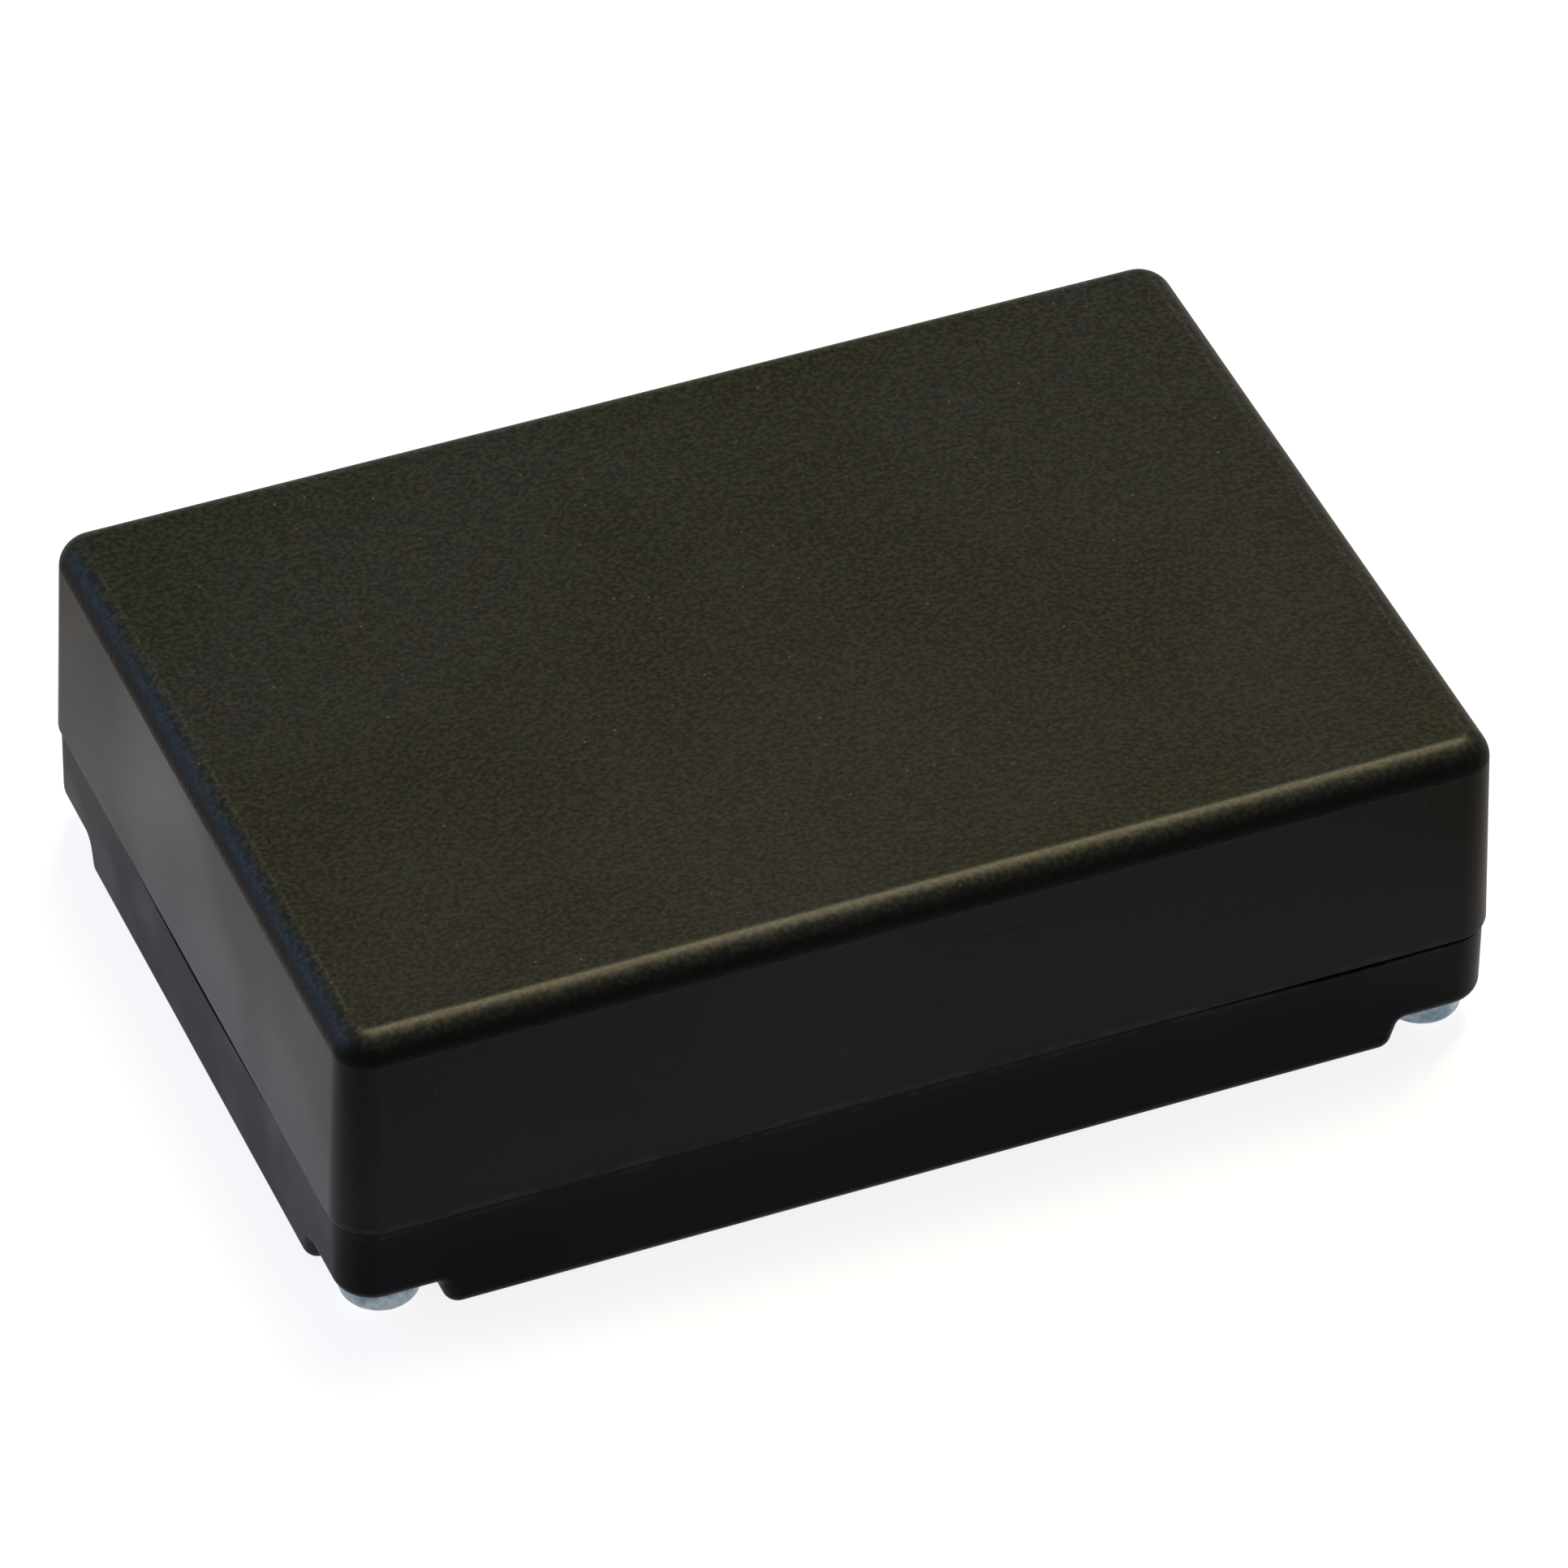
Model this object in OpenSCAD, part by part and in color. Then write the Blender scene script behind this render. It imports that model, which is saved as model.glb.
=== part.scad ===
// Small moulded project box: a deep case that stands closed face up, a stepped cover
// below it, and four pan-head screws driven up through the cover into the case.
// Millimetres, +Z up. X is the length and Y the width. The origin is the middle of
// the flat foot that the box stands on.

/* [Case] */
// Outside length at the rim of the case
case_l = 72; // [60:1:120]
// Outside width at the rim of the case
case_w = 50; // [44:1:90]
// Height of the case, from its rim to its closed face
case_h = 14; // [12:0.5:40]
// Thickness of the side walls of case and cover
wall = 2; // [1.6:0.1:2.2]
// Thickness of the closed face
face_t = 2; // [1.6:0.1:3]
// Radius of the upright corners at the rim
corner_r = 2.6; // [2.5:0.1:4]
// Radius of the rolled edge round the closed face
roll_r = 1.8; // [1:0.05:2]
// Radius of the edge inside the closed face
inner_roll_r = 0.3; // [0.1:0.05:0.4]
// Angle by which the case walls lean in towards the closed face
draft = 2; // [0:0.25:2.5]

/* [Cover] */
// Height of the cover, from the foot to its rim
cover_h = 7.35; // [6.5:0.05:12]
// Step by which the cover stays inside the rim of the case on each side
cover_step = 0.2; // [0:0.05:0.3]
// Thickness of the cover's floor
floor_t = 2; // [1.6:0.1:3]
// Radius of the edge round the foot
foot_edge_r = 1; // [0.5:0.1:1.4]

/* [Screw recesses] */
// Length of each recess along the long side, at the foot
recess_l = 6.7; // [6.6:0.1:10]
// Length of each recess along the short side, at the foot
recess_w = 7; // [6.6:0.1:10]
// Depth of the recesses above the foot
recess_h = 2.5; // [2.4:0.1:3.2]
// Angle by which the recess walls lean from upright
recess_lean = 18; // [5:1:20]
// Radius of the inner corner of a recess, at its seat
recess_r = 1.5; // [0.8:0.1:2]
// Radius between a recess wall and the seat
recess_fillet = 0.3; // [0.1:0.05:0.3]
// Radius between a recess wall and the foot
recess_edge_r = 0.8; // [0.4:0.1:1.2]
// Thickness of the cover beside a recess
recess_side_t = 1.2; // [0.8:0.1:2]

/* [Screws] */
// Distance of the screws from the outside faces at the rim
screw_inset = 3.3; // [3:0.1:3.4]
// Diameter of the screw heads
head_d = 4.8; // [3.8:0.1:4.9]
// Height of the screw heads
head_h = 2.25; // [1.4:0.05:2.3]
// Radius of the round edge of the screw heads
head_edge_r = 0.8; // [0.4:0.1:1]
// Diameter of the screws under the head
shank_d = 2; // [1.6:0.1:2.2]
// Length of the screws under the head
screw_len = 12; // [9:0.5:14]
// Length of the point at the end of a screw
point_l = 1.5; // [1:0.25:2.5]
// Width of the cross-shaped driving slot
cross_w = 0.6; // [0.4:0.05:0.8]
// Reach of the cross-shaped driving slot
cross_l = 2.8; // [1.8:0.1:3]
// Depth of the cross-shaped driving slot
cross_h = 1.2; // [0.5:0.1:1.3]

/* [Bosses] */
// Diameter of the screw bosses in the case and of the pillars in the cover
boss_d = 5.2; // [4.6:0.1:5.6]
// Depth of the screw holes past the tip of the screw
hole_spare = 1; // [0.5:0.25:2]

/* [Locating lip] */
// Height by which the cover's lip enters the case
lip_h = 1.5; // [1:0.25:3]
// Thickness of the lip
lip_t = 1; // [0.8:0.1:1.4]
// Space between the end of a lip and the screw pillars
lip_end_gap = 1; // [0.5:0.25:3]

/* [Board guides] */
// Thickness of the upright board guides on the long walls
guide_t = 1; // [0.8:0.1:1.4]
// Height by which a guide stands off the wall at the rim
guide_d = 1.6; // [1.2:0.1:2.2]
// Width of the slot between two guides
guide_slot = 1.8; // [1.6:0.1:3.2]
// Distance between the middles of the two slots along a wall
guide_pitch = 36; // [20:1:40]

/* [Clearances] */
// Fine gap between the rim of the case and the rim of the cover
rim_gap = 0.15; // [0.05:0.05:0.3]
// Space between the lip and the case wall
lip_gap = 0.15; // [0.1:0.05:0.3]
// Space round a screw in the cover, on the diameter
pass_gap = 0.8; // [0.4:0.1:1]
// Space round a screw in its boss, on the diameter
bite_gap = 0.1; // [0.05:0.05:0.2]
// Space between a guide's lower end and the lip
guide_end_gap = 0.5; // [0.3:0.1:2]

/* [Hidden] */
case_colour = [0.19, 0.19, 0.17];
cover_colour = [0.15, 0.15, 0.15];
screw_colour = [0.74, 0.78, 0.8];
// Smoothness of round surfaces
round_fn = 48;
// How far a cutting shape passes the surface that it opens
cut = 1;
// How far a merged shape enters the one that carries it
sink = 0.5;
rim_z = cover_h + rim_gap;
top_z = rim_z + case_h;
ceiling_z = top_z - face_t;
inner_l = case_l - 2 * wall;
inner_w = case_w - 2 * wall;
cover_l = case_l - 2 * cover_step;
cover_w = case_w - 2 * cover_step;
cover_r = corner_r - cover_step;
tray_l = cover_l - 2 * wall;
tray_w = cover_w - 2 * wall;
tray_r = cover_r - wall;
pad_top = recess_h + floor_t;
screw_x = case_l / 2 - screw_inset;
screw_y = case_w / 2 - screw_inset;

// Half outline of a form that leans in as it rises: radius r at its foot, a flat face
// at height h, a rolled edge between them, and the wall carried on below by drop.
module leaning_outline(r, h, edge, lean, drop = 0) {
    centre_x = r - (edge + (h - edge) * sin(lean)) / cos(lean);
    intersection() {
        union() {
            polygon([
                [0, -drop],
                [r + drop * tan(lean), -drop],
                [centre_x + edge * cos(lean), h - edge + edge * sin(lean)],
                [centre_x, h],
                [0, h]
            ]);
            translate([centre_x, h - edge]) circle(edge, $fn = round_fn);
        }
        translate([0, -drop]) square([r + h, h + drop]);
    }
}

// Sweeps the half outline in children() round a rectangle whose corners lie at
// cx and cy: round corners, straight walls, and solid from height low to high inside.
module swept_box(cx, cy, low, high) {
    for (sx = [-1, 1], sy = [-1, 1]) {
        translate([sx * cx, sy * cy, 0]) rotate_extrude($fn = round_fn) children();
    }
    rotate([90, 0, 90]) translate([0, 0, -cx]) linear_extrude(2 * cx)
        both_sides(cy, low, high) children();
    rotate([90, 0, 0]) translate([0, 0, -cy]) linear_extrude(2 * cy)
        both_sides(cx, low, high) children();
}

// The half outline in children() at both ends of a straight stretch of length 2 * c
module both_sides(c, low, high) {
    translate([-c, low]) square([2 * c, high - low]);
    for (side = [0, 1]) {
        mirror([side, 0]) translate([c, 0]) children();
    }
}

// Box with upright round corners, leaning walls and a rolled edge round its top face.
// Length, width and corner radius are those at its foot.
module rolled_box(l, w, h, r, edge, lean, drop = 0) {
    swept_box(l / 2 - r, w / 2 - r, -drop, h) leaning_outline(r, h, edge, lean, drop);
}

// Flat plate with round corners
module round_plate(l, w, h, r) {
    linear_extrude(h) {
        square([l, w - 2 * r], center = true);
        square([l - 2 * r, w], center = true);
        for (sx = [-1, 1], sy = [-1, 1]) {
            translate([sx * (l / 2 - r), sy * (w / 2 - r)]) circle(r, $fn = round_fn);
        }
    }
}

module at_screws() {
    for (sx = [-1, 1], sy = [-1, 1]) {
        translate([sx * screw_x, sy * screw_y, 0]) children();
    }
}

module in_each_corner() {
    for (mx = [0, 1], my = [0, 1]) {
        mirror([mx, 0, 0]) mirror([0, my, 0]) children();
    }
}

// Two upright ribs with a slot for a circuit board between them, on a long wall
module board_guide() {
    low = cover_h + lip_h + guide_end_gap;
    for (side = [-1, 1]) {
        translate([side * (guide_slot + guide_t) / 2 - guide_t / 2, inner_w / 2 - guide_d, low])
            cube([guide_t, guide_d + sink, ceiling_z + sink - low]);
    }
}

module case_shell() {
    color(case_colour)
    difference() {
        union() {
            translate([0, 0, rim_z]) difference() {
                rolled_box(case_l, case_w, case_h, corner_r, roll_r, draft);
                rolled_box(inner_l, inner_w, case_h - face_t, corner_r - wall,
                           inner_roll_r, draft, cut);
            }
            at_screws() translate([0, 0, cover_h])
                cylinder(d = boss_d, h = ceiling_z + sink - cover_h, $fn = round_fn);
            in_each_corner() translate([guide_pitch / 2, 0, 0]) board_guide();
        }
        at_screws() translate([0, 0, cover_h - cut])
            cylinder(d = shank_d + bite_gap,
                     h = recess_h + screw_len + hole_spare - cover_h + cut, $fn = round_fn);
    }
}

// Half outline of a recess: the leaning wall, its fillet at the seat, and the round
// edge by which the wall runs out into the foot.
module recess_outline(r) {
    run_out = recess_edge_r / tan((90 + recess_lean) / 2);
    leaning_outline(r, recess_h, recess_fillet, recess_lean);
    translate([0, -cut]) square([r + run_out, cut]);
    difference() {
        polygon([
            [r - cut, 0],
            [r, 0],
            [r + run_out, 0],
            [r - run_out * sin(recess_lean), run_out * cos(recess_lean)]
        ]);
        translate([r + run_out, recess_edge_r]) circle(recess_edge_r, $fn = round_fn);
    }
}

// Clear space for one screw head, open to both outside faces of the cover
module corner_recess() {
    foot_r = recess_r + recess_h * tan(recess_lean);
    translate([cover_l / 2 + cut, cover_w / 2 + cut, 0])
        swept_box(recess_l + cut - foot_r, recess_w + cut - foot_r, -cut, recess_h)
            recess_outline(foot_r);
}

// Raised floor over one recess, which seats the screw from above
module seat_pad() {
    intersection() {
        translate([cover_l / 2, cover_w / 2, floor_t - sink])
            round_plate(2 * (recess_l + recess_side_t), 2 * (recess_w + recess_side_t),
                        pad_top - floor_t + sink, recess_r);
        translate([0, 0, floor_t - sink])
            round_plate(tray_l + wall, tray_w + wall, pad_top - floor_t + sink, tray_r + wall / 2);
    }
}

// Straight ribs inside the cover's walls that find the inside of the case
module locating_lip() {
    lip_l = 2 * (screw_x - boss_d / 2 - lip_end_gap);
    lip_w = 2 * (screw_y - boss_d / 2 - lip_end_gap);
    inset = wall + lip_gap + lip_h * tan(draft);
    out_x = case_l / 2 - inset;
    out_y = case_w / 2 - inset;
    rise = cover_h + lip_h - floor_t + sink;
    for (side = [0, 180]) {
        rotate([0, 0, side]) {
            translate([-lip_l / 2, out_y - lip_t, floor_t - sink]) cube([lip_l, lip_t, rise]);
            translate([out_x - lip_t, -lip_w / 2, floor_t - sink]) cube([lip_t, lip_w, rise]);
        }
    }
}

module bottom_cover() {
    color(cover_colour)
    difference() {
        union() {
            difference() {
                translate([0, 0, cover_h]) mirror([0, 0, 1])
                    rolled_box(cover_l, cover_w, cover_h, cover_r, foot_edge_r, 0);
                translate([0, 0, floor_t])
                    round_plate(tray_l, tray_w, cover_h - floor_t + cut, tray_r);
            }
            in_each_corner() seat_pad();
            locating_lip();
            at_screws() translate([0, 0, sink])
                cylinder(d = boss_d, h = cover_h - sink, $fn = round_fn);
        }
        in_each_corner() corner_recess();
        at_screws() cylinder(d = shank_d + pass_gap, h = cover_h + cut, $fn = round_fn);
    }
}

// Half outline of a screw, head down, with the underside of the head at height 0
module screw_outline() {
    translate([0, head_edge_r - head_h]) square([head_d / 2, head_h - head_edge_r]);
    translate([0, -head_h]) square([head_d / 2 - head_edge_r, head_h]);
    translate([head_d / 2 - head_edge_r, head_edge_r - head_h])
        circle(head_edge_r, $fn = round_fn);
    polygon([
        [0, -head_h / 2],
        [shank_d / 2, -head_h / 2],
        [shank_d / 2, screw_len - point_l],
        [0, screw_len]
    ]);
}

module cover_screws() {
    color(screw_colour)
    at_screws() translate([0, 0, recess_h]) difference() {
        rotate_extrude($fn = round_fn) screw_outline();
        for (turn = [0, 90]) {
            rotate([0, 0, turn]) translate([-cross_l / 2, -cross_w / 2, -head_h - cut])
                cube([cross_l, cross_w, cross_h + cut]);
        }
    }
}

case_shell();
bottom_cover();
cover_screws();
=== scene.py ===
"""Looks of a small moulded project box: a deep case, a stepped cover and four screws.

Metres, +Z up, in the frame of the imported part. Each piece stands on the origin, with
its place in its mesh.
"""

import math

import bmesh
import bpy
from mathutils import Matrix, Vector


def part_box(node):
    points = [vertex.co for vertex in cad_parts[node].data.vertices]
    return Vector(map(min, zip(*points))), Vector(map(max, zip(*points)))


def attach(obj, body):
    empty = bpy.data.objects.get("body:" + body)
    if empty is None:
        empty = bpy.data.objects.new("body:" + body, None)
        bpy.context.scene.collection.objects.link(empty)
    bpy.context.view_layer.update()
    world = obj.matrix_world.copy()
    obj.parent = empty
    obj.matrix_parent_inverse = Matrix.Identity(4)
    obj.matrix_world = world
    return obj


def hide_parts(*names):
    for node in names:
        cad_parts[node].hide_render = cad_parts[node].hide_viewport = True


bl_info = {
    "name": "Moulded Project Box",
    "version": (1, 0, 0),
    "blender": (4, 5, 0),
    "location": "View3D > Sidebar > Project Box",
    "description": "Builds a two-part moulded box with its four cover screws",
    "category": "Object",
}

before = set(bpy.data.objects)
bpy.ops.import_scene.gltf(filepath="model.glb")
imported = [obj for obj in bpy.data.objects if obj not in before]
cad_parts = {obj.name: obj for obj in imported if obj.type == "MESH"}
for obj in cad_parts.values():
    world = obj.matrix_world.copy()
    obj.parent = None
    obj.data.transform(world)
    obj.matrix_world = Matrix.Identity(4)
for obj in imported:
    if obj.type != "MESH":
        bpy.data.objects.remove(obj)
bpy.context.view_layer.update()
CASE_LOW, CASE_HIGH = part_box("case_shell")
COVER_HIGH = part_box("bottom_cover")[1]
SCREWS_LOW, SCREWS_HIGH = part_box("cover_screws")

MM = 0.001
CORNERS = [(1, 1), (-1, 1), (-1, -1), (1, -1)]
# How far a merged shape enters the one that carries it
SINK = 0.4 * MM
# How far a cutting shape passes the surface that it opens
CUT = 1 * MM
# Points nearer to each other than this become one: at last, and after the recesses are cut
WELD = 0.001 * MM
CUT_WELD = 0.002 * MM
# How far a point may lie off the outside and still count as part of it
ON_OUTSIDE = 0.01 * MM

# Parts that a round edge or a full turn is made of
CORNER_SEGMENTS = 14
ROLL_SEGMENTS = 14
EDGE_SEGMENTS = 3
FOOT_SEGMENTS = 8
PAD_SEGMENTS = 6
RECESS_SEGMENTS = 10
RUN_OUT_SEGMENTS = 8
FILLET_SEGMENTS = 6
HEAD_EDGE_SEGMENTS = 10
POST_SEGMENTS = 48
HOLE_SEGMENTS = 32
HEAD_SEGMENTS = 64
THREAD_SEGMENTS = 24


def shade(red, green, blue):
    """Linear colour of an 8-bit display colour."""
    def linear(value):
        value /= 255
        return value / 12.92 if value <= 0.04045 else ((value + 0.055) / 1.055) ** 2.4
    return (linear(red), linear(green), linear(blue))


# ---------------------------------------------------------------- settings

def length(name, description, default):
    """A length property in metres."""
    return bpy.props.FloatProperty(
        name=name, description=description, default=default, min=0,
        subtype="DISTANCE", unit="LENGTH", precision=5)


def angle(name, description, degrees):
    """An angle property."""
    return bpy.props.FloatProperty(
        name=name, description=description, default=math.radians(degrees),
        subtype="ANGLE", unit="ROTATION")


def colour(name, description, default):
    """A colour property."""
    return bpy.props.FloatVectorProperty(
        name=name, description=description, default=default, size=3,
        min=0, max=1, subtype="COLOR")


def share(name, description, default, high):
    """A plain number from zero upwards."""
    return bpy.props.FloatProperty(
        name=name, description=description, default=default, min=0, max=high)


class CaseSettings(bpy.types.PropertyGroup):
    """Sizes and colours of the deep case."""

    rim: length("Rim height", "Height of the case's rim above the foot", 7.5 * MM)
    corner: length("Corner radius", "Radius of the upright corners at the rim", 2.6 * MM)
    roll: length("Roll radius", "Radius of the edge round the closed face", 1.8 * MM)
    draft: angle("Draft", "Angle by which the walls lean in", 2)
    wall: length("Wall", "Thickness of the side walls", 2 * MM)
    face: length("Face", "Thickness of the closed face", 2 * MM)
    inner_edge: length("Inner edge", "Radius of the edge inside the closed face", 0.15 * MM)
    edge_break: length("Edge break", "Radius of the rim's own edges", 0.12 * MM)
    boss: length("Boss diameter", "Diameter of the screw bosses", 5.2 * MM)
    hole: length("Hole diameter", "Diameter of the screw holes", 2.1 * MM)
    hole_end: length("Hole end", "Height at which the screw holes end", 15.5 * MM)
    guide: length("Guide thickness", "Thickness of the board guides", 1 * MM)
    guide_depth: length("Guide depth", "How far the guides stand off the wall", 1.6 * MM)
    guide_slot: length("Guide slot", "Width of the slot between two guides", 1.8 * MM)
    guide_pitch: length("Guide pitch", "Distance between the two slots of a wall", 36 * MM)
    guide_low: length("Guide end", "Height of the guides' lower ends", 9.35 * MM)
    wall_colour: colour("Walls", "Plastic of the smooth side walls", shade(19, 19, 16))
    face_colour: colour("Grained face", "Plastic of the grained closed face", shade(25, 30, 36))
    face_tint: colour("Face tint", "Colour of the clouds in the grained face", shade(19, 25, 22))
    # Painted shade: the foot of the rolled edge is painted nearly black
    roll_foot_shade_colour: colour("Roll foot", "Plastic at the foot of the rolled edge", shade(6, 7, 9))


class CoverSettings(bpy.types.PropertyGroup):
    """Sizes and colours of the stepped cover."""

    rim: length("Rim height", "Height of the cover's rim above the foot", 7.35 * MM)
    corner: length("Corner radius", "Radius of the upright corners", 2.4 * MM)
    foot_edge: length("Foot edge", "Radius of the lower edge, round the foot and the seats", 0.9 * MM)
    wall: length("Wall", "Thickness of the side walls", 2 * MM)
    floor: length("Floor", "Thickness of the floor", 2 * MM)
    edge_break: length("Edge break", "Radius of the rim's own edges", 0.12 * MM)
    recess_length: length("Recess length", "Length of a recess on the long side", 6.35 * MM)
    recess_width: length("Recess width", "Length of a recess on the short side", 6.6 * MM)
    recess_depth: length("Recess depth", "Height of the recesses above the foot", 1.95 * MM)
    recess_corner: length("Recess corner", "Radius of a recess's inner corner", 1.5 * MM)
    recess_fillet: length("Recess fillet", "Radius between a recess and its seat", 0.45 * MM)
    recess_edge: length("Recess edge", "Radius between a recess and the foot", 1 * MM)
    bow: length("Bow", "How far the rim sags in the middle of the left side", 0.6 * MM)
    recess_lean: angle("Recess lean", "Angle by which the recess walls lean", 18)
    recess_side: length("Recess side", "Thickness of the cover beside a recess", 1.2 * MM)
    pillar: length("Pillar diameter", "Diameter of the screw pillars", 5.2 * MM)
    hole: length("Hole diameter", "Diameter of the screw passages", 2.8 * MM)
    lip: length("Lip thickness", "Thickness of the locating lip", 1 * MM)
    lip_gap: length("Lip gap", "Space between the lip and the wall's outside", 2.2 * MM)
    lip_end: length("Lip end", "Distance between the lips' ends and the screws", 3.6 * MM)
    body_colour: colour("Body", "Plastic of the cover", shade(10, 10, 11))


class ScrewSettings(bpy.types.PropertyGroup):
    """Sizes and colours of the cover screws."""

    head: length("Head diameter", "Diameter of the screw heads", 4.8 * MM)
    head_edge: length("Head edge", "Radius of the round edge of the heads", 0.6 * MM)
    seat: length("Seat", "Height at which the heads sit", 1.95 * MM)
    core: length("Core diameter", "Diameter between the threads", 1.5 * MM)
    crest: length("Crest diameter", "Diameter over the threads", 2 * MM)
    pitch: length("Pitch", "Distance between two turns of the thread", 0.8 * MM)
    point: length("Point", "Length of the point", 1.5 * MM)
    cross_length: length("Cross length", "Reach of the driving cross at its mouth", 2.8 * MM)
    cross_width: length("Cross width", "Width of the driving cross at its mouth", 0.6 * MM)
    cross_depth: length("Cross depth", "Depth of the driving cross", 1 * MM)
    zinc_colour: colour("Zinc", "Bright zinc plating", shade(150, 164, 164))


class StageSettings(bpy.types.PropertyGroup):
    """Floor, lights and camera."""

    floor_size: length("Floor size", "Side of the floor", 3)
    floor_colour: colour("Floor", "Plain floor", shade(178, 178, 178))
    near_reach: length("Near reach", "Reach of the floor that the box mirrors", 54 * MM)
    sky_share: share("Sky", "Strength of the even light from all round", 0.14, 4)
    top_share: share("Top", "Power of the warm lamp overhead", 6.0, 100)
    rim_share: share("Rim", "Power of the cool lamp behind the left side", 2.5, 100)
    azimuth: angle("Azimuth", "Turn of the camera to the left", 22.978)
    elevation: angle("Elevation", "Angle of the camera above the floor", 41.195)
    tilt: angle("Tilt", "Roll of the camera about its line of sight", 0.847)
    distance: length("Distance", "Distance from camera to the middle of the box", 663.81 * MM)
    slide_right: length("Slide right", "Sideways offset of the camera", 1.0269 * MM)
    slide_down: length("Slide down", "Downward offset of the camera", 0.6826 * MM)
    focal: share("Focal length", "Focal length in millimetres on a 36 mm frame", 259.96, 500)


# ---------------------------------------------------------------- shaping

def round_rectangle(long_side, short_side, radius, height, segments, down=False):
    """A bmesh that holds one flat face with round corners, and that face."""
    bm = bmesh.new()
    bmesh.ops.create_grid(bm, x_segments=1, y_segments=1, size=0.5)
    bmesh.ops.scale(bm, vec=(long_side, short_side, 1), verts=bm.verts)
    bmesh.ops.translate(bm, vec=(0, 0, height), verts=bm.verts)
    bmesh.ops.bevel(
        bm, geom=list(bm.verts), offset=radius, offset_type="OFFSET", segments=segments,
        profile=0.5, affect="VERTICES", material=-1, clamp_overlap=False)
    face = bm.faces[:][0]
    face.normal_update()
    if (face.normal.z < 0) != down:
        face.normal_flip()
    return bm, face


def carry(bm, face, steps):
    """Carries a flat face along steps of (inset, rise), each one ring of wall."""
    for inset, rise in steps:
        bmesh.ops.inset_region(
            bm, faces=[face], use_boundary=True, use_even_offset=True,
            thickness=inset, depth=rise)
    return face


def arc_steps(radius, start, end, count):
    """Steps of (inset, rise) round an edge, between two slopes in degrees."""
    turns = [math.radians(start + (end - start) * i / count) for i in range(count + 1)]
    return [
        (radius * (math.cos(a) - math.cos(b)), radius * (math.sin(b) - math.sin(a)))
        for a, b in zip(turns, turns[1:])
    ]


def hollow_steps(radius, count):
    """Steps of (inset, rise) from a wall inwards over a concave edge."""
    return [(rise, inset) for inset, rise in reversed(arc_steps(radius, 0, 90, count))]


def sunk(steps):
    """The same steps, carried against the face's own direction."""
    return [(inset, -rise) for inset, rise in steps]


def close_rim(bm, down):
    """Fills the one open rim with a flat face that points up or down."""
    rim = [edge for edge in bm.edges if edge.is_boundary]
    face = bmesh.ops.holes_fill(bm, edges=rim, sides=0)["faces"][0]
    face.normal_update()
    if (face.normal.z < 0) != down:
        face.normal_flip()
    return face


def add_block(bm, low, high):
    """A block between two corners."""
    low, high = Vector(low), Vector(high)
    made = bmesh.ops.create_cube(bm, size=1)["verts"]
    bmesh.ops.scale(bm, vec=high - low, verts=made)
    bmesh.ops.translate(bm, vec=(low + high) / 2, verts=made)
    return made


def add_post(bm, x, y, low, high, diameter, segments=POST_SEGMENTS):
    """An upright round post."""
    bmesh.ops.create_cone(
        bm, cap_ends=True, segments=segments, radius1=diameter / 2, radius2=diameter / 2,
        depth=high - low, matrix=Matrix.Translation((x, y, (low + high) / 2)))


def as_object(name, bm):
    """An object of the mesh in a bmesh, which it frees."""
    bm.normal_update()
    mesh = bpy.data.meshes.new(name)
    bm.to_mesh(mesh)
    bm.free()
    piece = bpy.data.objects.new(name, mesh)
    bpy.context.scene.collection.objects.link(piece)
    return piece


def apply_modifiers(piece):
    """Bakes a piece's modifiers into its mesh."""
    graph = bpy.context.evaluated_depsgraph_get()
    mesh = bpy.data.meshes.new_from_object(piece.evaluated_get(graph))
    old = piece.data
    piece.modifiers.clear()
    piece.data = mesh
    mesh.name = piece.name
    bpy.data.meshes.remove(old)


def combine(piece, bm, operation):
    """Joins a bmesh to a piece, or cuts it from the piece."""
    bmesh.ops.recalc_face_normals(bm, faces=bm.faces)
    tool = as_object("tool", bm)
    modifier = piece.modifiers.new("form", "BOOLEAN")
    modifier.operation = operation
    modifier.solver = "EXACT"
    modifier.object = tool
    apply_modifiers(piece)
    mesh = tool.data
    bpy.data.objects.remove(tool)
    bpy.data.meshes.remove(mesh)


def finish_mesh(piece, material, body, node, sharp=35):
    """Smooths, dresses and seats a finished piece."""
    bm = bmesh.new()
    bm.from_mesh(piece.data)
    bmesh.ops.remove_doubles(bm, verts=bm.verts, dist=WELD)
    bmesh.ops.dissolve_degenerate(bm, dist=WELD, edges=bm.edges)
    bm.to_mesh(piece.data)
    bm.free()
    piece.data.materials.clear()
    piece.data.materials.append(material)
    for polygon in piece.data.polygons:
        polygon.material_index = 0
    piece.data.shade_smooth()
    piece.data.set_sharp_from_angle(angle=math.radians(sharp))
    weighted = piece.modifiers.new("even_shading", "WEIGHTED_NORMAL")
    weighted.keep_sharp = True
    weighted.weight = 80
    apply_modifiers(piece)
    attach(piece, body)
    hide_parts(node)


# ---------------------------------------------------------------- materials

# Colours of the finer detail, beside those that can be set
FACE_SHADOW = shade(215, 215, 210)
FACE_GRAINS = shade(120, 122, 104)
FACE_SPECKS = shade(120, 120, 105)
WALL_MOTTLE = shade(25, 25, 22)
# Painted shade at the foot of the case's walls, beside the rim
WALL_FOOT_SHADE = shade(10, 10, 10)
COVER_MOTTLE = shade(15, 14, 16)
# Painted light on the cover's upper part, so that it is darker toward its foot
COVER_PAINTED_LIGHT = shade(25, 24, 24)
SPECKS = shade(90, 90, 92)
RUBBED = shade(84, 84, 86)
ZINC_CLOUDS = shade(113, 132, 136)
ZINC_DULL = shade(94, 104, 107)
# Depth of the bump in the case's grain and in the finer finishes
GRAIN_BUMP = 0.02 * MM
FINE_BUMP = 0.004 * MM
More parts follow.
